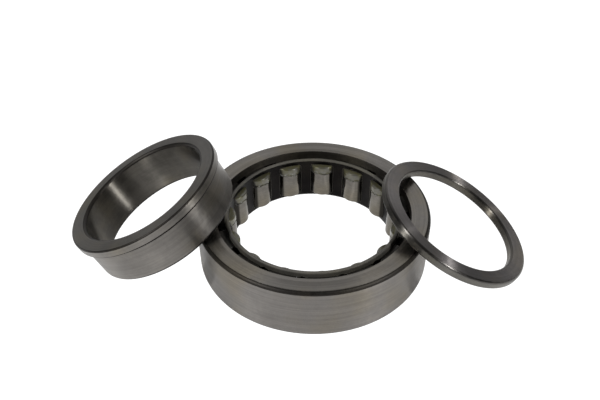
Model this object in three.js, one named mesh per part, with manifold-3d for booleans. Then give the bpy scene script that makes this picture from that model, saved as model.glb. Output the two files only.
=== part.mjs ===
// A cylindrical roller bearing with a flanged inner ring and a loose flange ring, taken apart on a
// bench. The outer ring lies flat and holds the rollers in their pressed-steel cage. The inner ring
// leans on its left edge and the flange ring on its right edge, each standing on its own low edge.
// Millimetres, +Z up. The origin is on the bench, under the middle of the whole layout.

import * as THREE from 'three';
import * as BufferGeometryUtils from 'three/addons/utils/BufferGeometryUtils.js';
import Module from 'manifold-3d';

// ---- Driving dimensions, in millimetres and degrees ----

const OUTSIDE_DIAMETER = 150;
const BORE_DIAMETER = 85;
const BEARING_WIDTH = 36;

const INNER_RACEWAY_DIAMETER = 100.5;
const ROLLER_DIAMETER = 18;
const ROLLER_LENGTH = 24;
const ROLLER_COUNT = 15;
const FIRST_ROLLER_ANGLE = 84.5;   // degrees round from +X

const INNER_RIB_DIAMETER = 106;
const OUTER_RIB_BORE = 124.6;

const CAGE_BORE = 109;
const CAGE_SHEET = 2.4;
const CAGE_UPPER_RIM = 4;
const CAGE_LOWER_RIM = 2.9;

const RUNNING_GAP = 0.06;          // rollers to raceways, on the radius
const ROLLER_END_GAP = 0.1;        // roller ends to the ribs
const POCKET_GAP = 0.25;           // rollers to the cage pockets, all round

const OUTER_CORNER = 2.5;
const BORE_CORNER = 1.6;
const RIB_CORNER = 1.0;
const FLANGE_CORNER = 1.5;
const EDGE_BREAK = 0.6;
const ROLLER_CORNER = 0.9;
const UNDERCUT_DEPTH = 0.4;
const UNDERCUT_WIDTH = 1.4;

const INNER_RING_TIP = 26.4;       // how far each leaning ring's axis is tipped away from upright
const FLANGE_RING_TIP = 27.1;
const INNER_RING_DISTANCE = 109.4; // from the outer ring's axis to the middle of each upper face
const FLANGE_RING_DISTANCE = 92.5;
const INNER_RING_HEADING = 179.7;   // the side of the outer ring that each one leans on, from +X
const FLANGE_RING_HEADING = 0.5;

const RING_SEGMENTS = 90;          // a multiple of the roller count, and even
const ROLLER_SEGMENTS = 24;
const CORNER_STEPS = 2;

// ---- Sizes that follow from them ----

const RIB_THICKNESS = (BEARING_WIDTH - ROLLER_LENGTH) / 2 - ROLLER_END_GAP;
const FLANGE_THICKNESS = RIB_THICKNESS;
const INNER_RING_WIDTH = BEARING_WIDTH - FLANGE_THICKNESS;
const PITCH_RADIUS = (INNER_RACEWAY_DIAMETER + ROLLER_DIAMETER) / 2;
const OUTER_RACEWAY_RADIUS = PITCH_RADIUS + ROLLER_DIAMETER / 2;
const INNER_RACEWAY_RADIUS = INNER_RACEWAY_DIAMETER / 2;
const MIDDLE_HEIGHT = BEARING_WIDTH / 2;
const CAGE_INNER_RADIUS = CAGE_BORE / 2;
const CAGE_OUTER_RADIUS = CAGE_INNER_RADIUS + CAGE_SHEET;
const POCKET_HEIGHT = ROLLER_LENGTH + 2 * POCKET_GAP;

// ---- Materials ----

function steel(colour, roughness) {
  return new THREE.MeshStandardMaterial({ color: colour, roughness, metalness: 1 });
}

const groundSteel = steel(0x8c8780, 0.35);
const rollerSteel = steel(0x938d82, 0.22);
const cageSteel = steel(0x6b665d, 0.45);

// ---- Turned shapes ----

// Replaces one corner of an outline with an arc of the given radius that meets both its sides.
function roundedCorner(before, corner, after, radius) {
  const towardsBefore = before.clone().sub(corner).normalize();
  const towardsAfter = after.clone().sub(corner).normalize();
  const halfAngle = Math.acos(towardsBefore.dot(towardsAfter)) / 2;
  const start = corner.clone().addScaledVector(towardsBefore, radius / Math.tan(halfAngle));
  const inwards = towardsBefore.clone().add(towardsAfter).normalize();
  const centre = corner.clone().addScaledVector(inwards, radius / Math.sin(halfAngle));
  const turn = (Math.PI - 2 * halfAngle) * Math.sign(towardsAfter.cross(towardsBefore));
  const points = [];
  for (let step = 0; step <= CORNER_STEPS; step += 1) {
    points.push(start.clone().rotateAround(centre, (turn * step) / CORNER_STEPS));
  }
  return points;
}

// Corners are [radius, height, corner radius], listed anticlockwise seen with the height upwards.
function outline(corners) {
  const sharp = corners.map(([radius, height]) => new THREE.Vector2(radius, height));
  return corners.flatMap(([, , rounding], index) => {
    const before = sharp.at(index - 1);
    const after = sharp[(index + 1) % sharp.length];
    return rounding ? roundedCorner(before, sharp[index], after, rounding) : [sharp[index]];
  });
}

// Spins an outline about Z, with one column of vertices along +X.
function turned(points, segments) {
  const geometry = new THREE.LatheGeometry(points, segments);
  geometry.rotateX(Math.PI / 2);
  geometry.rotateZ(Math.PI / 2);
  return geometry;
}

function turnedRing(points) {
  return turned([...points, points[0]], RING_SEGMENTS);
}

function part(name, geometry, material) {
  const mesh = new THREE.Mesh(geometry, material);
  mesh.name = name;
  return mesh;
}

// ---- Booleans ----

const wasm = await Module();
wasm.setup();

function solidFrom(geometry) {
  const bare = geometry.clone();
  bare.deleteAttribute('normal');
  bare.deleteAttribute('uv');
  const merged = BufferGeometryUtils.mergeVertices(bare, 1e-4);
  return new wasm.Manifold(new wasm.Mesh({
    numProp: 3,
    vertProperties: new Float32Array(merged.attributes.position.array),
    triVerts: new Uint32Array(merged.index.array),
  }));
}

function geometryFrom(solid) {
  const mesh = solid.getMesh();
  const geometry = new THREE.BufferGeometry();
  geometry.setAttribute('position', new THREE.BufferAttribute(mesh.vertProperties, 3));
  geometry.setIndex(new THREE.BufferAttribute(mesh.triVerts, 1));
  geometry.computeVertexNormals();
  return geometry;
}

// ---- Outer ring: a channel that the rollers run in, between two solid ribs ----

function outerRingOutline() {
  const outside = OUTSIDE_DIAMETER / 2;
  const ribRadius = OUTER_RIB_BORE / 2;
  const upperRib = BEARING_WIDTH - RIB_THICKNESS;
  const groove = OUTER_RACEWAY_RADIUS + UNDERCUT_DEPTH;
  return outline([
    [outside, 0, OUTER_CORNER],
    [outside, BEARING_WIDTH, OUTER_CORNER],
    [ribRadius, BEARING_WIDTH, EDGE_BREAK],
    [ribRadius, upperRib, 0],
    [groove, upperRib, 0],
    [groove, upperRib - UNDERCUT_WIDTH, 0],
    [OUTER_RACEWAY_RADIUS, upperRib - UNDERCUT_WIDTH, 0],
    [OUTER_RACEWAY_RADIUS, RIB_THICKNESS + UNDERCUT_WIDTH, 0],
    [groove, RIB_THICKNESS + UNDERCUT_WIDTH, 0],
    [groove, RIB_THICKNESS, 0],
    [ribRadius, RIB_THICKNESS, 0],
    [ribRadius, 0, EDGE_BREAK],
  ]);
}

function outerRing() {
  return part('outer_ring', turnedRing(outerRingOutline()), groundSteel);
}

// ---- Cage: a pressed band just inside the rollers' centres, with one pocket for each roller ----

function rollerAngles() {
  return Array.from({ length: ROLLER_COUNT }, (_, index) => {
    return THREE.MathUtils.degToRad(FIRST_ROLLER_ANGLE - (index * 360) / ROLLER_COUNT);
  });
}

function rollerPlace(angle) {
  const x = PITCH_RADIUS * Math.cos(angle);
  const y = PITCH_RADIUS * Math.sin(angle);
  return new THREE.Vector3(x, y, MIDDLE_HEIGHT);
}

function pocketCutter(angle) {
  const radius = ROLLER_DIAMETER / 2 + POCKET_GAP;
  const cutter = new THREE.CylinderGeometry(radius, radius, POCKET_HEIGHT, ROLLER_SEGMENTS);
  cutter.rotateX(Math.PI / 2);
  cutter.rotateZ(angle);
  const place = rollerPlace(angle);
  cutter.translate(place.x, place.y, place.z);
  return solidFrom(cutter);
}

function cage() {
  const low = MIDDLE_HEIGHT - POCKET_HEIGHT / 2 - CAGE_LOWER_RIM;
  const high = MIDDLE_HEIGHT + POCKET_HEIGHT / 2 + CAGE_UPPER_RIM;
  const band = turnedRing(outline([
    [CAGE_OUTER_RADIUS, low, EDGE_BREAK],
    [CAGE_OUTER_RADIUS, high, EDGE_BREAK],
    [CAGE_INNER_RADIUS, high, EDGE_BREAK],
    [CAGE_INNER_RADIUS, low, EDGE_BREAK],
  ]));
  let solid = solidFrom(band);
  for (const angle of rollerAngles()) {
    solid = solid.subtract(pocketCutter(angle));
  }
  return part('cage', geometryFrom(solid), cageSteel);
}

// ---- Rollers ----

function rollerGeometry() {
  const radius = ROLLER_DIAMETER / 2 - RUNNING_GAP;
  const half = ROLLER_LENGTH / 2;
  return turned([
    new THREE.Vector2(0, -half),
    new THREE.Vector2(radius - ROLLER_CORNER, -half),
    new THREE.Vector2(radius, -half + ROLLER_CORNER),
    new THREE.Vector2(radius, half - ROLLER_CORNER),
    new THREE.Vector2(radius - ROLLER_CORNER, half),
    new THREE.Vector2(0, half),
  ], ROLLER_SEGMENTS);
}

function rollers() {
  const geometry = rollerGeometry();
  return rollerAngles().map((angle, index) => {
    const number = String(index + 1).padStart(2, '0');
    const roller = part(`roller_${number}`, geometry, rollerSteel);
    roller.position.copy(rollerPlace(angle));
    roller.rotation.z = angle;
    return roller;
  });
}

// ---- The two leaning rings. Height 0 of their outlines is the upper face ----

function innerRingOutline() {
  const bore = BORE_DIAMETER / 2;
  const rib = INNER_RIB_DIAMETER / 2;
  const groove = INNER_RACEWAY_RADIUS - UNDERCUT_DEPTH;
  return outline([
    [INNER_RACEWAY_RADIUS, -INNER_RING_WIDTH, BORE_CORNER],
    [INNER_RACEWAY_RADIUS, -RIB_THICKNESS - UNDERCUT_WIDTH, 0],
    [groove, -RIB_THICKNESS - UNDERCUT_WIDTH, 0],
    [groove, -RIB_THICKNESS, 0],
    [rib, -RIB_THICKNESS, 0],
    [rib, 0, RIB_CORNER],
    [bore, 0, BORE_CORNER],
    [bore, -INNER_RING_WIDTH, BORE_CORNER],
  ]);
}

function flangeRingOutline() {
  const bore = BORE_DIAMETER / 2;
  const rib = INNER_RIB_DIAMETER / 2;
  return outline([
    [rib, -FLANGE_THICKNESS, FLANGE_CORNER],
    [rib, 0, FLANGE_CORNER],
    [bore, 0, RIB_CORNER],
    [bore, -FLANGE_THICKNESS, RIB_CORNER],
  ]);
}

// Tips a ring about Y, so that its low edge just meets the bench, then turns it round to its side
// of the outer ring.
function leaning(name, points, tipDegrees, distance, headingDegrees) {
  const tip = THREE.MathUtils.degToRad(tipDegrees);
  const lowest = Math.min(...points.map((point) => {
    return point.y * Math.cos(tip) - point.x * Math.sin(tip);
  }));
  const ring = part(name, turnedRing(points), groundSteel);
  ring.rotation.y = tip;
  ring.position.set(distance, 0, -lowest);
  const side = new THREE.Group();
  side.rotation.z = THREE.MathUtils.degToRad(headingDegrees);
  side.add(ring);
  return side;
}

function innerRing() {
  const points = innerRingOutline();
  return leaning('inner_ring', points, INNER_RING_TIP, INNER_RING_DISTANCE, INNER_RING_HEADING);
}

function flangeRing() {
  const points = flangeRingOutline();
  return leaning('flange_ring', points, FLANGE_RING_TIP, FLANGE_RING_DISTANCE, FLANGE_RING_HEADING);
}

// ---- The layout, moved so that its middle is over the origin ----

const group = new THREE.Group();
group.add(outerRing(), cage(), ...rollers(), innerRing(), flangeRing());
group.updateMatrixWorld(true);
const middle = new THREE.Box3().setFromObject(group, true).getCenter(new THREE.Vector3());
group.position.set(-middle.x, -middle.y, 0);

export default group;
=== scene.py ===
"""A cylindrical roller bearing taken apart on a pale table, in Blender 4.5.

The outer ring lies flat with its cage and rollers. The inner ring leans on its left edge and the
flange ring on its right edge. Sizes are in millimetres and are scaled to metres once, by MM.
"""

import math

import bmesh
import bpy
from mathutils import Matrix, Vector


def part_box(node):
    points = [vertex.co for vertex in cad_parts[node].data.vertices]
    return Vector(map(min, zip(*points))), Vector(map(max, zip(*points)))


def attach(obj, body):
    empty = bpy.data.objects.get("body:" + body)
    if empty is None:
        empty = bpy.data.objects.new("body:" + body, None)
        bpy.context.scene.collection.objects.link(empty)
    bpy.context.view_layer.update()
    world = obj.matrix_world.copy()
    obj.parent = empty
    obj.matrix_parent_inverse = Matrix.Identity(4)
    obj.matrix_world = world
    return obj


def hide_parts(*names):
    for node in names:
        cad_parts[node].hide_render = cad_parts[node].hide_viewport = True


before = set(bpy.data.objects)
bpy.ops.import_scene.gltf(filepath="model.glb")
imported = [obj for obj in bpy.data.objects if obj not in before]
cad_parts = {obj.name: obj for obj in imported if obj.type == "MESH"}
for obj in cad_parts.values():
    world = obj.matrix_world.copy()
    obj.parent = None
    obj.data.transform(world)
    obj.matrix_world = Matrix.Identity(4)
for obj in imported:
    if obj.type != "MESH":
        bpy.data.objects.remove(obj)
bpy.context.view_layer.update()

MM = 0.001

# ---- Sizes, the frame's unless a comment says otherwise ----

OUTSIDE_RADIUS = 75
BORE_RADIUS = 42.5
BEARING_WIDTH = 36
MIDDLE_HEIGHT = BEARING_WIDTH / 2

# The frame's rollers have 0.02 more clearance, because its raceway has facets
NOMINAL_ROLLER_RADIUS = 9
ROLLER_CLEARANCE = 0.04
ROLLER_RADIUS = NOMINAL_ROLLER_RADIUS - ROLLER_CLEARANCE
ROLLER_LENGTH = 24
ROLLER_COUNT = 15
FIRST_ROLLER_ANGLE = 84.5
PITCH_RADIUS = 59.25
OUTER_RACEWAY_RADIUS = PITCH_RADIUS + NOMINAL_ROLLER_RADIUS
INNER_RACEWAY_RADIUS = PITCH_RADIUS - NOMINAL_ROLLER_RADIUS

ROLLER_END_GAP = 0.1
RIB_THICKNESS = (BEARING_WIDTH - ROLLER_LENGTH) / 2 - ROLLER_END_GAP
INNER_RIB_RADIUS = 53
OUTER_RIB_RADIUS = 62.3
INNER_RING_WIDTH = BEARING_WIDTH - RIB_THICKNESS

CAGE_INNER_RADIUS = 54.5
CAGE_THICKNESS = 2.4
CAGE_OUTER_RADIUS = CAGE_INNER_RADIUS + CAGE_THICKNESS
CAGE_UPPER_RIM = 4
CAGE_LOWER_RIM = 2.9
POCKET_CLEARANCE = 0.25
POCKET_RADIUS = NOMINAL_ROLLER_RADIUS + POCKET_CLEARANCE
POCKET_HEIGHT = ROLLER_LENGTH + 2 * POCKET_CLEARANCE

# The leaning rings: how far each tips from flat, how far the middle of its upper face is from the
# bearing's axis, and the direction it lies in from there. Angles are in degrees.
INNER_RING_TIP = 26.4
FLANGE_RING_TIP = 27.1
INNER_RING_DISTANCE = 109.4
FLANGE_RING_DISTANCE = 92.5
INNER_RING_HEADING = 179.7
FLANGE_RING_HEADING = 0.5

# ---- Edge sizes, some of them rounder than the frame's ----

OUTER_CORNER = 2.5
BORE_CORNER = 2.3
RIB_CORNER = 1.2
RIB_LOWER_CORNER = 0.85
FLANGE_CORNER = 1.6
FLANGE_BORE_CORNER = 1.5
RIB_BORE_CORNER = 0.6
BEVEL_DROP = 0.35
DISH_INNER_RADIUS = 65.4
DISH_OUTER_RADIUS = 72.4
DISH_DEPTH = 0.12
DISH_EASE = 10
ROLLER_CORNER = 0.8
EDGE_BREAK = 0.15
UNDERCUT_DEPTH = 0.4
UNDERCUT_WIDTH = 1.4
CAGE_RIM_CORNER = 1.15
POCKET_EDGE = 0.35
POCKET_CORNER = 1.2

# ---- Mesh detail ----

RING_SEGMENTS = 240
ROLLER_SEGMENTS = 72
CORNER_STEPS = 8
SIDE_STEPS = 10
POCKET_CORNER_STEPS = 3
EDGE_STEPS = 3
SHARP_ANGLE = 35
MERGE_DISTANCE = 0.002


def middle_of(node):
    """The middle of a CAD node's box, in metres."""
    low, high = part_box(node)
    return (low + high) / 2


AXIS = Vector((middle_of("outer_ring").x, 0, 0))


# ---- Outlines: [radius, height] points of a turned shape, anticlockwise ----

def rounded_corner(before, corner, after, radius):
    """The arc of that radius which replaces a corner and meets both its sides."""
    back = (before - corner).normalized()
    ahead = (after - corner).normalized()
    half = back.angle(ahead) / 2
    inwards = (back + ahead).normalized()
    centre = corner + inwards * (radius / math.sin(half))
    start = corner + back * (radius / math.tan(half)) - centre
    turn = math.copysign(math.pi - 2 * half, ahead.cross(back))
    arc = []
    for step in range(CORNER_STEPS + 1):
        angle = turn * step / CORNER_STEPS
        x = start.x * math.cos(angle) - start.y * math.sin(angle)
        y = start.x * math.sin(angle) + start.y * math.cos(angle)
        arc.append(centre + Vector((x, y)))
    return arc


def outline(corners):
    """Corners are (radius, height, corner radius)."""
    sharp = [Vector(corner[:2]) for corner in corners]
    points = []
    for index, (_, _, radius) in enumerate(corners):
        after = sharp[(index + 1) % len(sharp)]
        points += rounded_corner(sharp[index - 1], sharp[index], after, radius)
    return points


def outer_ring_outline():
    upper_rib = BEARING_WIDTH - RIB_THICKNESS
    groove = OUTER_RACEWAY_RADIUS + UNDERCUT_DEPTH
    return outline([
        (OUTSIDE_RADIUS, 0, OUTER_CORNER),
        (OUTSIDE_RADIUS, BEARING_WIDTH, OUTER_CORNER),
        (DISH_OUTER_RADIUS, BEARING_WIDTH, EDGE_BREAK),
        ((DISH_INNER_RADIUS + DISH_OUTER_RADIUS) / 2, BEARING_WIDTH - DISH_DEPTH, DISH_EASE),
        (DISH_INNER_RADIUS, BEARING_WIDTH, DISH_EASE / 4),
        (OUTER_RIB_RADIUS, BEARING_WIDTH - BEVEL_DROP, RIB_BORE_CORNER),
        (OUTER_RIB_RADIUS, upper_rib, EDGE_BREAK),
        (groove, upper_rib, EDGE_BREAK),
        (groove, upper_rib - UNDERCUT_WIDTH, EDGE_BREAK),
        (OUTER_RACEWAY_RADIUS, upper_rib - UNDERCUT_WIDTH, EDGE_BREAK),
        (OUTER_RACEWAY_RADIUS, RIB_THICKNESS + UNDERCUT_WIDTH, EDGE_BREAK),
        (groove, RIB_THICKNESS + UNDERCUT_WIDTH, EDGE_BREAK),
        (groove, RIB_THICKNESS, EDGE_BREAK),
        (OUTER_RIB_RADIUS, RIB_THICKNESS, EDGE_BREAK),
        (OUTER_RIB_RADIUS, 0, RIB_BORE_CORNER),
    ])


def inner_ring_outline():
    """Height 0 is the face of the rib, and the ring hangs below it."""
    groove = INNER_RACEWAY_RADIUS - UNDERCUT_DEPTH
    return outline([
        (INNER_RACEWAY_RADIUS, -INNER_RING_WIDTH, BORE_CORNER),
        (INNER_RACEWAY_RADIUS, -RIB_THICKNESS - UNDERCUT_WIDTH, EDGE_BREAK),
        (groove, -RIB_THICKNESS - UNDERCUT_WIDTH, EDGE_BREAK),
        (groove, -RIB_THICKNESS, EDGE_BREAK),
        (INNER_RIB_RADIUS, -RIB_THICKNESS, RIB_LOWER_CORNER),
        (INNER_RIB_RADIUS, 0, RIB_CORNER),
        (BORE_RADIUS, 0, BORE_CORNER),
        (BORE_RADIUS, -INNER_RING_WIDTH, BORE_CORNER),
    ])


def flange_ring_outline():
    """Height 0 is the upper face."""
    return outline([
        (INNER_RIB_RADIUS, -RIB_THICKNESS, FLANGE_CORNER),
        (INNER_RIB_RADIUS, 0, FLANGE_CORNER),
        (BORE_RADIUS, 0, FLANGE_BORE_CORNER),
        (BORE_RADIUS, -RIB_THICKNESS, FLANGE_BORE_CORNER),
    ])


def roller_outline():
    """The side and the rounded corners, without the points at the axis."""
    half = ROLLER_LENGTH / 2
    loop = outline([
        (0, -half, EDGE_BREAK),
        (ROLLER_RADIUS, -half, ROLLER_CORNER),
        (ROLLER_RADIUS, half, ROLLER_CORNER),
        (0, half, EDGE_BREAK),
    ])
    return [point for point in loop if point.x > ROLLER_RADIUS / 2]


# ---- Meshes ----

def finished(name, bm):
    """A smooth-shaded object from a bmesh, with every face pointing out."""
    bmesh.ops.recalc_face_normals(bm, faces=bm.faces)
    mesh = bpy.data.meshes.new(name)
    bm.to_mesh(mesh)
    bm.free()
    mesh.shade_smooth()
    mesh.set_sharp_from_angle(angle=math.radians(SHARP_ANGLE))
    piece = bpy.data.objects.new(name, mesh)
    bpy.context.scene.collection.objects.link(piece)
    keep_flats_flat = piece.modifiers.new("flat faces stay flat", "WEIGHTED_NORMAL")
    keep_flats_flat.keep_sharp = True
    return piece


def spin(bm, points, segments):
    """Rings of vertices round Z, one for each point of an outline."""
    rings = []
    for point in points:
        ring = []
        for step in range(segments):
            angle = 2 * math.pi * step / segments
            x = point.x * math.cos(angle)
            y = point.x * math.sin(angle)
            ring.append(bm.verts.new(Vector((x, y, point.y)) * MM))
        rings.append(ring)
    return rings


def join_rings(bm, one, other):
    """A closed strip of four-sided faces between two rings of vertices."""
    for index in range(len(one)):
        after = (index + 1) % len(one)
        bm.faces.new((one[index], one[after], other[after], other[index]))


def turned_ring(name, points):
    """A ring whose closed outline is points."""
    bm = bmesh.new()
    rings = spin(bm, points, RING_SEGMENTS)
    for index, ring in enumerate(rings):
        join_rings(bm, rings[index - 1], ring)
    return finished(name, bm)


def turned_roller(name):
    """A roller standing on its end, with its middle at height 0 and flat ends."""
    bm = bmesh.new()
    rings = spin(bm, roller_outline(), ROLLER_SEGMENTS)
    for one, other in zip(rings, rings[1:]):
        join_rings(bm, one, other)
    bm.faces.new(rings[0])
    bm.faces.new(rings[-1])
    return finished(name, bm)


# ---- The cage: one pocket and its share of the band, repeated round ----

def pocket_half_angle(radius):
    """Half the pocket's width at a radius of the band, as an angle about the bearing's axis."""
    cosine = (radius**2 + PITCH_RADIUS**2 - POCKET_RADIUS**2) / (2 * radius * PITCH_RADIUS)
    return math.acos(cosine)


def pocket_loop(radius, grow):
    """The pocket's outline on the band at that radius, as (angle, height, radius) points.

    It is a rectangle with round corners, grown on all sides by grow. It starts half way round its
    upper left corner, at 135 degrees, and goes clockwise. Each side has half a corner, a straight
    stretch and half a corner, and the same number of steps.
    """
    across = pocket_half_angle(radius) * radius + grow
    up = POCKET_HEIGHT / 2 + grow
    corner = POCKET_CORNER + grow
    points = []
    for side in range(4):
        turn = -side * math.pi / 2
        half_side, rise = (across, up) if side % 2 == 0 else (up, across)
        straight = half_side - corner
        flat = []
        for step in range(POCKET_CORNER_STEPS):
            angle = math.radians(135 - 45 * step / POCKET_CORNER_STEPS)
            x = -straight + corner * math.cos(angle)
            flat.append((x, rise - corner + corner * math.sin(angle)))
        for step in range(SIDE_STEPS + 1):
            flat.append((straight * (2 * step / SIDE_STEPS - 1), rise))
        for step in range(1, POCKET_CORNER_STEPS):
            angle = math.radians(90 - 45 * step / POCKET_CORNER_STEPS)
            x = straight + corner * math.cos(angle)
            flat.append((x, rise - corner + corner * math.sin(angle)))
        for x, y in flat:
            s = x * math.cos(turn) - y * math.sin(turn)
            z = x * math.sin(turn) + y * math.cos(turn)
            points.append((s / radius, MIDDLE_HEIGHT + z, radius))
    return points


def band_loop(radius, low, high):
    """The edge of one pocket's share of the band, with the same steps as pocket_loop."""
    half = math.pi / ROLLER_COUNT
    corners = [(-half, high), (half, high), (half, low), (-half, low)]
    steps = SIDE_STEPS + 2 * POCKET_CORNER_STEPS
    points = []
    for side in range(4):
        (x0, y0), (x1, y1) = corners[side], corners[(side + 1) % 4]
        for step in range(steps):
            share = step / steps
            points.append((x0 + (x1 - x0) * share, y0 + (y1 - y0) * share, radius))
    return points


def rolled_edge(size):
    """(sideways, inwards) steps of a quarter circle of that size, from the face to the edge."""
    angles = [math.pi / 2 * step / EDGE_STEPS for step in range(EDGE_STEPS + 1)]
    return [(size * (1 - math.sin(angle)), size * (1 - math.cos(angle))) for angle in angles]


def cage_share(bm, place):
    """One pocket's share of the band, with place(angle, height, radius) giving each vertex."""
    low = MIDDLE_HEIGHT - POCKET_HEIGHT / 2 - CAGE_LOWER_RIM
    high = MIDDLE_HEIGHT + POCKET_HEIGHT / 2 + CAGE_UPPER_RIM
    flat_low = low + CAGE_RIM_CORNER
    flat_high = high - CAGE_RIM_CORNER
    loops = [band_loop(CAGE_OUTER_RADIUS, flat_low, flat_high)]
    for grow, depth in rolled_edge(POCKET_EDGE):
        loops.append(pocket_loop(CAGE_OUTER_RADIUS - depth, grow))
    for grow, depth in reversed(rolled_edge(POCKET_EDGE)):
        loops.append(pocket_loop(CAGE_INNER_RADIUS + depth, grow))
    loops.append(band_loop(CAGE_INNER_RADIUS, flat_low, flat_high))
    rows = [[place(*point) for point in loop] for loop in loops]
    for one, other in zip(rows, rows[1:]):
        join_rings(bm, one, other)

    steps = SIDE_STEPS + 2 * POCKET_CORNER_STEPS
    half = math.pi / ROLLER_COUNT
    angles = [half * (2 * step / steps - 1) for step in range(steps + 1)]
    for edge, outwards in ((low, -1), (high, 1)):
        section = []
        for back, depth in rolled_edge(CAGE_RIM_CORNER):
            section.append((CAGE_OUTER_RADIUS - depth, edge - outwards * back))
        for back, depth in reversed(rolled_edge(CAGE_RIM_CORNER)):
            section.append((CAGE_INNER_RADIUS + depth, edge - outwards * back))
        rim = [[place(angle, height, radius) for angle in angles] for radius, height in section]
        for one, other in zip(rim, rim[1:]):
            for index in range(steps):
                bm.faces.new((one[index], one[index + 1], other[index + 1], other[index]))


def pressed_cage(name):
    """The whole cage: one share of the band for each roller, joined where the shares meet."""
    bm = bmesh.new()
    for number in range(ROLLER_COUNT):
        middle = math.radians(FIRST_ROLLER_ANGLE - 360 * number / ROLLER_COUNT)

        def place(angle, height, radius):
            x = radius * math.cos(middle + angle)
            y = radius * math.sin(middle + angle)
            return bm.verts.new(Vector((x, y, height)) * MM)

        cage_share(bm, place)
    bmesh.ops.remove_doubles(bm, verts=bm.verts, dist=MERGE_DISTANCE * MM)
    return finished(name, bm)


# ---- Procedural materials ----

WHITE = (1, 1, 1, 1)
OIL_STAIN = (0.95, 0.91, 0.8, 1)
# The next colour is the rollers' painted shade, on the outer part of each end and on the sides by
# the cage
ROLLER_PAINTED_SHADE = (0.03, 0.028, 0.024, 1)
YELLOW_OIL = (0.11, 0.103, 0.05, 1)
PALE_OIL = (0.12, 0.114, 0.09, 1)
ROLLER_STEEL = (0.175, 0.164, 0.147)

# How closely each pattern is packed: rings for each millimetre, and the others for each metre
FINE_RINGS = 3.1
BROAD_RINGS = 0.75
SMUDGES = 55.0
SPECKS = 420.0
STAINS = 28.0
DRIPS = 190.0

# Stretches of a noise's values: nearly all of them, and where stains, dull smudges and the yellow
# of the oil come in
NOISE_RANGE = (0.3, 0.7)
STAIN_RANGE = (0.42, 0.72)
DULL_RANGE = (0.35, 0.75)
YELLOW_RANGE = (0.4, 0.6)

# How far each pattern lightens and darkens the steel, how far specks and smudges change its
# roughness, and how strong and deep (in millimetres) the rings are as grooves
BROAD_RING_SHADE = 0.1
FINE_RING_SHADE = 0.06
SPECK_SHADE = 0.05
SPECK_DULLNESS = 0.03
SMUDGE_DULLNESS = (-0.02, 0.05)
RING_BUMP = 0.08
RING_DEPTH = 0.02

QUARTER_TURN = 0.25
NEAR_AXIS = 0.2

# Oil on a roller, in millimetres: the film's lower edge above the roller's middle, how far the
# edge wanders, how far above it the film is whole and the bead ends, and how deep the bead is
OIL_LINE = 6.2
OIL_WANDER = 0.7
FILM_WHOLE = 0.5
BEAD_END = 1.8
BEAD_DEPTH = 1.3
FILM_DULLNESS = 0.25
FILM_BARENESS = 0.35
FILM_GLOSS = 0.9
FILM_ROUGHNESS = 0.1

# Painted shade on a roller, darkening it where its steel mirrors dark things, in millimetres: how
# far below the end's face its layer starts, where it starts on the end, counted outwards from the
# bearing's axis, where it starts on the sides, and how much further out that is for each
# millimetre above the oil line
SHADE_BELOW_END = (0.3, 0.1)
SHADE_ON_END = (-4.5, -3.5)
SHADE_ON_SIDES = (4.9, 6.2)
SHADE_SPREAD = 0.3


class Nodes:
    """A short way to add and link shader nodes."""

    def __init__(self, tree, keep=False):
        self.tree = tree
        if not keep:
            tree.nodes.clear()

    def add(self, kind, inputs=(), **settings):
        node = self.tree.nodes.new(kind)
        for key, value in settings.items():
            setattr(node, key, value)
        for key, value in dict(inputs).items():
            self.feed(node.inputs[key], value)
        return node

    def feed(self, socket, value):
        if isinstance(value, bpy.types.NodeSocket):
            self.tree.links.new(value, socket)
        else:
            socket.default_value = value

    def maths(self, operation, *values):
        return self.add("ShaderNodeMath", enumerate(values), operation=operation).outputs[0]

    def span(self, value, low, high, to_low=0.0, to_high=1.0):
        """Maps low..high smoothly to to_low..to_high."""
        node = self.add(
            "ShaderNodeMapRange",
            {"Value": value, "From Min": low, "From Max": high, "To Min": to_low, "To Max": to_high},
            interpolation_type="SMOOTHSTEP",
        )
        return node.outputs["Result"]

    def noise(self, vector, scale, detail=3.0, roughness=0.55):
        node = self.add(
            "ShaderNodeTexNoise",
            {"Vector": vector, "Scale": scale, "Detail": detail, "Roughness": roughness},
        )
        return node.outputs["Fac"]

    def mixed(self, factor, one, other):
        node = self.add("ShaderNodeMix", data_type="RGBA")
        self.feed(node.inputs["Factor"], factor)
        self.feed(node.inputs["A"], one)
        self.feed(node.inputs["B"], other)
        return node.outputs["Result"]

    def scaled(self, colour, factor):
        node = self.add("ShaderNodeVectorMath", operation="SCALE")
        self.feed(node.inputs[0], colour)
        self.feed(node.inputs["Scale"], factor)
        return node.outputs[0]


def turned_coordinates(nodes):
    """(position, rings) in a piece's own frame, where its axis is Z.

    The rings vector changes quickly with radius and height and slowly round the axis, so a noise
    of it gives the rings that a grinding wheel leaves.
    """
    position = nodes.add("ShaderNodeTexCoord").outputs["Object"]
    x, y, height = nodes.add("ShaderNodeSeparateXYZ", {0: position}).outputs
    radius = nodes.maths("SQRT", nodes.maths("MULTIPLY_ADD", y, y, nodes.maths("MULTIPLY", x, x)))
    divisor = nodes.maths("MAXIMUM", radius, NEAR_AXIS * MM)
    cosine = nodes.maths("DIVIDE", x, divisor)
    sine = nodes.maths("DIVIDE", y, divisor)
    along = nodes.maths("MULTIPLY", nodes.maths("ADD", radius, height), 1 / MM)
    rings = nodes.add("ShaderNodeCombineXYZ", {0: cosine, 1: sine, 2: along}).outputs[0]
    return position, rings


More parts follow.
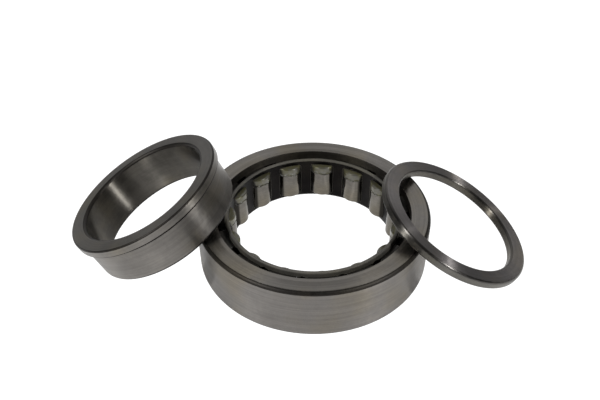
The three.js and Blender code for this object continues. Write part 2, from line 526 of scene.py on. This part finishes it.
def steel(name, colour, roughness, grain=1.0, mottle=0.12, streak=0.93, bare=1.0):
    """Machined bearing steel with grinding rings, smudges and a thin stain of oil.

    grain is how strong the rings are, mottle how uneven the colour is, streak how far the rings
    draw a highlight out across themselves, and bare how free the metal is of a dull film.
    """
    material = bpy.data.materials.new(name)
    material.use_nodes = True
    nodes = Nodes(material.node_tree)
    position, rings = turned_coordinates(nodes)
    fine = nodes.noise(rings, FINE_RINGS, detail=2.0)
    broad = nodes.noise(rings, BROAD_RINGS)
    smudge = nodes.noise(position, SMUDGES, detail=4.0, roughness=0.6)
    speck = nodes.noise(position, SPECKS, roughness=0.65)
    stain = nodes.span(nodes.noise(position, STAINS), *STAIN_RANGE)

    shade = nodes.span(smudge, *NOISE_RANGE, 1 - mottle, 1 + mottle)
    patterns = (
        (broad, BROAD_RING_SHADE * grain),
        (fine, FINE_RING_SHADE * grain),
        (speck, SPECK_SHADE),
    )
    for pattern, strength in patterns:
        layer = nodes.span(pattern, *NOISE_RANGE, 1 - strength, 1 + strength)
        shade = nodes.maths("MULTIPLY", shade, layer)
    base = nodes.add("ShaderNodeVectorMath", operation="MULTIPLY")
    nodes.feed(base.inputs[0], nodes.scaled(nodes.mixed(stain, WHITE, OIL_STAIN), shade))
    nodes.feed(base.inputs[1], colour)

    dullness = nodes.maths(
        "ADD",
        nodes.span(speck, *NOISE_RANGE, roughness - SPECK_DULLNESS, roughness + SPECK_DULLNESS),
        nodes.span(smudge, *DULL_RANGE, *SMUDGE_DULLNESS),
    )
    bump = nodes.add(
        "ShaderNodeBump",
        {"Height": fine, "Strength": RING_BUMP * grain, "Distance": RING_DEPTH * MM},
    )
    round_axis = nodes.add("ShaderNodeTangent", direction_type="RADIAL", axis="Z")
    shader = nodes.add(
        "ShaderNodeBsdfPrincipled",
        {
            "Base Color": base.outputs[0],
            "Roughness": dullness,
            "Metallic": bare,
            "Anisotropic": streak,
            "Anisotropic Rotation": QUARTER_TURN,
            "Tangent": round_axis.outputs[0],
            "Normal": bump.outputs[0],
        },
    )
    nodes.add("ShaderNodeOutputMaterial", {"Surface": shader.outputs[0]})
    return material


def oil_film(nodes, height, drip):
    """(film, bead): 1 where oil covers a roller, and the height of the bead along its lower edge."""
    wander = nodes.span(drip, *NOISE_RANGE, -OIL_WANDER * MM, OIL_WANDER * MM)
    wavy = nodes.maths("ADD", height, wander)
    film = nodes.span(wavy, OIL_LINE * MM, (OIL_LINE + FILM_WHOLE) * MM)
    above_bead = nodes.span(wavy, (OIL_LINE + FILM_WHOLE) * MM, (OIL_LINE + BEAD_END) * MM)
    return film, nodes.maths("SUBTRACT", film, above_bead)


def painted_shade_layer(nodes, outward, sideways, height):
    """1 where a roller is painted dark as shade: the outer part of its end, and its sides by the
    cage.
    """
    layer_start, layer_whole = ((ROLLER_LENGTH / 2 - depth) * MM for depth in SHADE_BELOW_END)
    end_start, end_whole = (place * MM for place in SHADE_ON_END)
    side_start, side_whole = (place * MM for place in SHADE_ON_SIDES)
    at_end = nodes.span(height, layer_start, layer_whole)
    on_end = nodes.maths("MULTIPLY", at_end, nodes.span(outward, end_start, end_whole))
    above_line = nodes.maths("MAXIMUM", nodes.maths("SUBTRACT", height, OIL_LINE * MM), 0.0)
    spread = nodes.maths("MULTIPLY", above_line, SHADE_SPREAD)
    aside = nodes.maths("SUBTRACT", nodes.maths("ABSOLUTE", sideways), spread)
    return nodes.maths("MAXIMUM", on_end, nodes.span(aside, side_start, side_whole))


def oiled_and_shaded_roller_steel(name):
    """Honed steel with yellow oil round its upper end, and painted shade on the outer part of its
    end and on its sides by the cage.

    A roller stands with X pointing away from the bearing's axis.
    """
    material = steel(name, ROLLER_STEEL, 0.16, grain=0.5, streak=0.6)
    nodes = Nodes(material.node_tree, keep=True)
    shader = next(node for node in nodes.tree.nodes if node.type == "BSDF_PRINCIPLED")
    position = nodes.add("ShaderNodeTexCoord").outputs["Object"]
    outward, sideways, height = nodes.add("ShaderNodeSeparateXYZ", {0: position}).outputs
    drip = nodes.noise(position, DRIPS, detail=2.0)
    film, bead = oil_film(nodes, height, drip)
    # Painted shade: the outer part of the end and the sides by the cage are darkened
    painted_shade = painted_shade_layer(nodes, outward, sideways, height)

    steel_colour = shader.inputs["Base Color"].links[0].from_socket
    oil = nodes.mixed(nodes.span(drip, *YELLOW_RANGE), YELLOW_OIL, PALE_OIL)
    colour = nodes.mixed(film, steel_colour, oil)
    nodes.feed(shader.inputs["Base Color"], nodes.mixed(painted_shade, colour, ROLLER_PAINTED_SHADE))
    steel_dullness = shader.inputs["Roughness"].links[0].from_socket
    film_dullness = nodes.maths("MULTIPLY", film, FILM_DULLNESS)
    nodes.feed(shader.inputs["Roughness"], nodes.maths("ADD", steel_dullness, film_dullness))
    nodes.feed(shader.inputs["Metallic"], nodes.span(film, 0.0, 1.0, 1.0, FILM_BARENESS))
    ridge = nodes.add(
        "ShaderNodeBump",
        {"Height": bead, "Strength": 1.0, "Distance": BEAD_DEPTH * MM},
    )
    nodes.feed(shader.inputs["Normal"], ridge.outputs[0])
    nodes.feed(shader.inputs["Coat Normal"], ridge.outputs[0])
    # The oil's coat is left off where the painted shade lies
    unshaded_film = nodes.maths("MULTIPLY", film, nodes.maths("SUBTRACT", 1.0, painted_shade))
    nodes.feed(shader.inputs["Coat Weight"], nodes.maths("MULTIPLY", unshaded_film, FILM_GLOSS))
    nodes.feed(shader.inputs["Coat Roughness"], FILM_ROUGHNESS)
    return material


FACE = steel("ground_face", (0.216, 0.204, 0.19), 0.33, grain=0.8, streak=0.8)
SIDE = steel("ground_side", (0.176, 0.166, 0.156), 0.33, grain=1.0)
CORNER = steel("turned_corner", (0.038, 0.035, 0.032), 0.5, grain=0.6, streak=0.3)
# The edges beside the inner raceway are painted nearly black as shade
RACEWAY_EDGE_SHADE = steel("painted_shade_edge", (0.015, 0.013, 0.012), 0.4, grain=0.6)
TRACK = steel("raceway", (0.178, 0.168, 0.156), 0.36, grain=0.8, mottle=0.16, streak=0.88)
RIB_BORE = steel("rib_bore", (0.085, 0.079, 0.069), 0.5, grain=0.6, streak=0.7)
RIB_FACE = steel("rib_face", (0.16, 0.152, 0.142), 0.42, grain=0.6, streak=0.4)
FLANGE_FACE = steel("flange_face", (0.2, 0.187, 0.184), 0.33, grain=0.6, streak=1.0)
FLANGE_SIDE = steel("flange_side", (0.14, 0.134, 0.122), 0.33, grain=0.8, streak=1.0)
FLANGE_EDGE = steel("flange_edge", (0.1, 0.095, 0.09), 0.33, grain=0.6, streak=0.9)
BORE = steel("bore", (0.125, 0.117, 0.104), 0.33, grain=0.6, mottle=0.25, streak=1.0)
# The cage's two materials are a shaded and a lit copy of one steel: painted shade on the walls and a
# painted highlight on the rim and bar edges
CAGE_SHADED_WALL = steel("cage_wall_painted_shade", (0.012, 0.011, 0.011), 0.35, grain=0.3, mottle=0.3, streak=0.0)
CAGE_LIT_CREST = steel("cage_crest_painted_highlight", (0.1, 0.095, 0.083), 0.6, mottle=0.2, streak=0.0, bare=0.25)
ROLLER = oiled_and_shaded_roller_steel("oiled_roller_painted_shade")


# ---- Which face has which material ----

# A face's direction is given by its parts along the piece's axis and away from it. A part above
# FLAT means within 8 degrees of that way.
FLAT = math.cos(math.radians(8))
RIM_LEAN = 0.3
BAR_EDGE_OUT = (-0.97, -0.25)


def paint(piece, materials, chosen):
    """Gives each face the material whose index chosen(height, out, up) returns.

    out and up are the parts of the face's direction away from the axis and along it.
    """
    for material in materials:
        piece.data.materials.append(material)
    for face in piece.data.polygons:
        x, y, height = face.center / MM
        radius = math.hypot(x, y)
        out = 0.0
        if radius > 0:
            out = (face.normal.x * x + face.normal.y * y) / radius
        face.material_index = chosen(height, out, face.normal.z)


def ring_surface(height, out, up):
    """0 is a flat face, 1 the outside, 2 a corner and 3 the inside, at any height."""
    if abs(up) > FLAT:
        return 0
    if out > FLAT:
        return 1
    if out < -FLAT:
        return 3
    return 2


def inner_ring_surface(height, out, up):
    """As ring_surface, with 4 for the edges beside the raceway, which get painted shade."""
    edges_start = -RIB_THICKNESS - UNDERCUT_WIDTH - EDGE_BREAK
    edges_end = -RIB_THICKNESS + RIB_LOWER_CORNER
    if edges_start < height < edges_end and out > -FLAT:
        return 4
    return ring_surface(height, out, up)


def cage_surface(height, out, up):
    """0 is the wall, painted dark as shade, and 1 a lighter copy of the same steel as a painted
    highlight.

    That is the rim above the pockets, on its top and its outside, and the rolled edges of the
    bars, on the side that faces the bearing's axis.
    """
    above_pockets = height > MIDDLE_HEIGHT + POCKET_HEIGHT / 2 + POCKET_EDGE
    lit_rim = above_pockets and (up > RIM_LEAN or out > 0)
    lit_bar_edge = abs(up) < RIM_LEAN and BAR_EDGE_OUT[0] < out < BAR_EDGE_OUT[1]
    return 1 if lit_rim or lit_bar_edge else 0


# ---- The pieces ----

def added(piece, body):
    """Ties a piece to its body, in place of the CAD node of the same name."""
    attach(piece, body)
    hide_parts(body)


def leaning_place(points, tip_degrees, distance, heading_degrees):
    """Tips a ring about Y so that its low edge meets the table, then turns it to its side."""
    tip = math.radians(tip_degrees)
    lowest = min(point.y * math.cos(tip) - point.x * math.sin(tip) for point in points)
    place = Matrix.Translation(Vector((distance, 0, -lowest)) * MM)
    turn = Matrix.Rotation(math.radians(heading_degrees), 4, "Z")
    return Matrix.Translation(AXIS) @ turn @ place @ Matrix.Rotation(tip, 4, "Y")


def add_outer_ring():
    piece = turned_ring("outer_ring_ground", outer_ring_outline())
    piece.location = AXIS
    paint(piece, [FACE, SIDE, CORNER, RIB_BORE], ring_surface)
    added(piece, "outer_ring")


def add_cage():
    piece = pressed_cage("cage_pressed")
    piece.location = AXIS
    paint(piece, [CAGE_SHADED_WALL, CAGE_LIT_CREST], cage_surface)
    added(piece, "cage")


def add_rollers():
    for number in range(ROLLER_COUNT):
        angle = math.radians(FIRST_ROLLER_ANGLE - 360 * number / ROLLER_COUNT)
        piece = turned_roller(f"roller_ground_{number + 1:02d}")
        across = Vector((math.cos(angle), math.sin(angle), 0)) * PITCH_RADIUS
        piece.location = AXIS + (across + Vector((0, 0, MIDDLE_HEIGHT))) * MM
        piece.rotation_euler.z = angle
        paint(piece, [ROLLER], lambda *_: 0)
        added(piece, f"roller_{number + 1:02d}")


def add_inner_ring():
    points = inner_ring_outline()
    piece = turned_ring("inner_ring_ground", points)
    piece.matrix_world = leaning_place(
        points, INNER_RING_TIP, INNER_RING_DISTANCE, INNER_RING_HEADING
    )
    paint(piece, [RIB_FACE, TRACK, CORNER, BORE, RACEWAY_EDGE_SHADE], inner_ring_surface)
    added(piece, "inner_ring")


def add_flange_ring():
    points = flange_ring_outline()
    piece = turned_ring("flange_ring_ground", points)
    piece.matrix_world = leaning_place(
        points, FLANGE_RING_TIP, FLANGE_RING_DISTANCE, FLANGE_RING_HEADING
    )
    paint(piece, [FLANGE_FACE, FLANGE_SIDE, FLANGE_EDGE, BORE], ring_surface)
    added(piece, "flange_ring")


add_outer_ring()
add_cage()
add_rollers()
add_inner_ring()
add_flange_ring()


# ---- Table, light and camera ----

TABLE_REACH = 4.0
TABLE_GAP = 0.05
TABLE_CLOUDS = 40.0
TABLE_SHADE = (0.94, 0.96)
TABLE_GLOW = 0.45
ROOM_GLOW = 0.07
BACKDROP_GLOW = 0.72
CAMERA_WHITE = 1.2

# Where the backdrop fades, as parts of a direction: sideways, away from the camera and upwards
FADE_SIDEWAYS = (0.1, 0.95)
FADE_AWAY = (0.0, 0.35)
FADE_UPWARDS = (0.7, 0.97)

# name: (azimuth, elevation) in degrees as seen from the bearing, with azimuth 0 away from the
# camera and 90 to its right, then (width, height) in metres and the glow seen in a mirror
LAMPS = {
    "right_lamp": ((119, 45), (0.1, 0.1), 380.0),
    "left_lamp": ((-120, 45), (0.1, 0.1), 380.0),
}
LAMP_DISTANCE = 1.6

# The camera's place is in millimetres from the foot of the bearing's axis, its angles in degrees
CAMERA_PLACE = (4.76, -349.84, 331.11)
CAMERA_HEADING = 2.17
CAMERA_DOWN = 39.51
CAMERA_ROLL = -0.39
CAMERA_LENS = 42.75
SENSOR_WIDTH = 36


def add_table():
    """A white table. The camera sees it plain white, and the metal mirrors it lit and shadowed."""
    bm = bmesh.new()
    bmesh.ops.create_grid(bm, x_segments=1, y_segments=1, size=TABLE_REACH)
    table = finished("table", bm)
    table.location.z = -TABLE_GAP * MM
    material = bpy.data.materials.new("table_white")
    material.use_nodes = True
    nodes = Nodes(material.node_tree)
    position = nodes.add("ShaderNodeTexCoord").outputs["Object"]
    shade = nodes.span(nodes.noise(position, TABLE_CLOUDS), *NOISE_RANGE, *TABLE_SHADE)
    shader = nodes.add(
        "ShaderNodeBsdfPrincipled",
        {
            "Base Color": nodes.scaled(WHITE[:3], shade),
            "Roughness": 0.8,
            "Emission Color": WHITE,
            "Emission Strength": TABLE_GLOW,
        },
    )
    seen = nodes.add("ShaderNodeLightPath").outputs["Is Camera Ray"]
    white = nodes.add("ShaderNodeEmission", {"Color": WHITE, "Strength": CAMERA_WHITE})
    surface = nodes.add("ShaderNodeMixShader", {0: seen, 1: shader.outputs[0], 2: white.outputs[0]})
    nodes.add("ShaderNodeOutputMaterial", {"Surface": surface.outputs[0]})
    table.data.materials.append(material)


def add_lamp(name, direction, size, glow):
    """A rectangular area light that faces the bearing."""
    azimuth, elevation = (math.radians(angle) for angle in direction)
    light = bpy.data.lights.new(name, "AREA")
    light.shape = "RECTANGLE"
    light.size, light.size_y = size
    light.energy = glow * math.pi * size[0] * size[1]
    lamp = bpy.data.objects.new(name, light)
    away = Vector((
        math.sin(azimuth) * math.cos(elevation),
        math.cos(azimuth) * math.cos(elevation),
        math.sin(elevation),
    ))
    lamp.location = AXIS + away * LAMP_DISTANCE
    lamp.rotation_euler = away.to_track_quat("Z", "Y").to_euler()
    bpy.context.scene.collection.objects.link(lamp)


def add_world():
    """A dim room with a pale backdrop behind the bearing, which the camera sees plain white."""
    world = bpy.data.worlds.new("studio")
    world.use_nodes = True
    bpy.context.scene.world = world
    nodes = Nodes(world.node_tree)
    direction = nodes.add("ShaderNodeTexCoord").outputs["Generated"]
    across, away, up = nodes.add("ShaderNodeSeparateXYZ", {0: direction}).outputs
    fades = (
        nodes.span(nodes.maths("ABSOLUTE", across), *FADE_SIDEWAYS, 1.0, 0.0),
        nodes.span(away, *FADE_AWAY),
        nodes.span(up, *FADE_UPWARDS, 1.0, 0.0),
    )
    glow = BACKDROP_GLOW
    for fade in fades:
        glow = nodes.maths("MULTIPLY", glow, fade)
    glow = nodes.maths("ADD", glow, ROOM_GLOW)
    seen = nodes.add("ShaderNodeLightPath").outputs["Is Camera Ray"]
    glow = nodes.maths("ADD", glow, nodes.maths("MULTIPLY", seen, CAMERA_WHITE))
    sky = nodes.add("ShaderNodeBackground", {"Color": WHITE, "Strength": glow})
    nodes.add("ShaderNodeOutputWorld", {"Surface": sky.outputs[0]})


def add_camera():
    """The view from the front and above."""
    camera_data = bpy.data.cameras.new("camera")
    camera_data.sensor_width = SENSOR_WIDTH
    camera_data.lens = CAMERA_LENS
    camera = bpy.data.objects.new("camera", camera_data)
    bpy.context.scene.collection.objects.link(camera)
    place = Matrix.Translation(AXIS + Vector(CAMERA_PLACE) * MM)
    heading = Matrix.Rotation(math.radians(CAMERA_HEADING), 4, "Z")
    pitch = Matrix.Rotation(math.radians(90 - CAMERA_DOWN), 4, "X")
    roll = Matrix.Rotation(math.radians(CAMERA_ROLL), 4, "Z")
    camera.matrix_world = place @ heading @ pitch @ roll
    bpy.context.scene.camera = camera


add_table()
add_world()
for lamp_name, lamp_settings in LAMPS.items():
    add_lamp(lamp_name, *lamp_settings)
add_camera()
bpy.context.scene.view_settings.view_transform = "Standard"
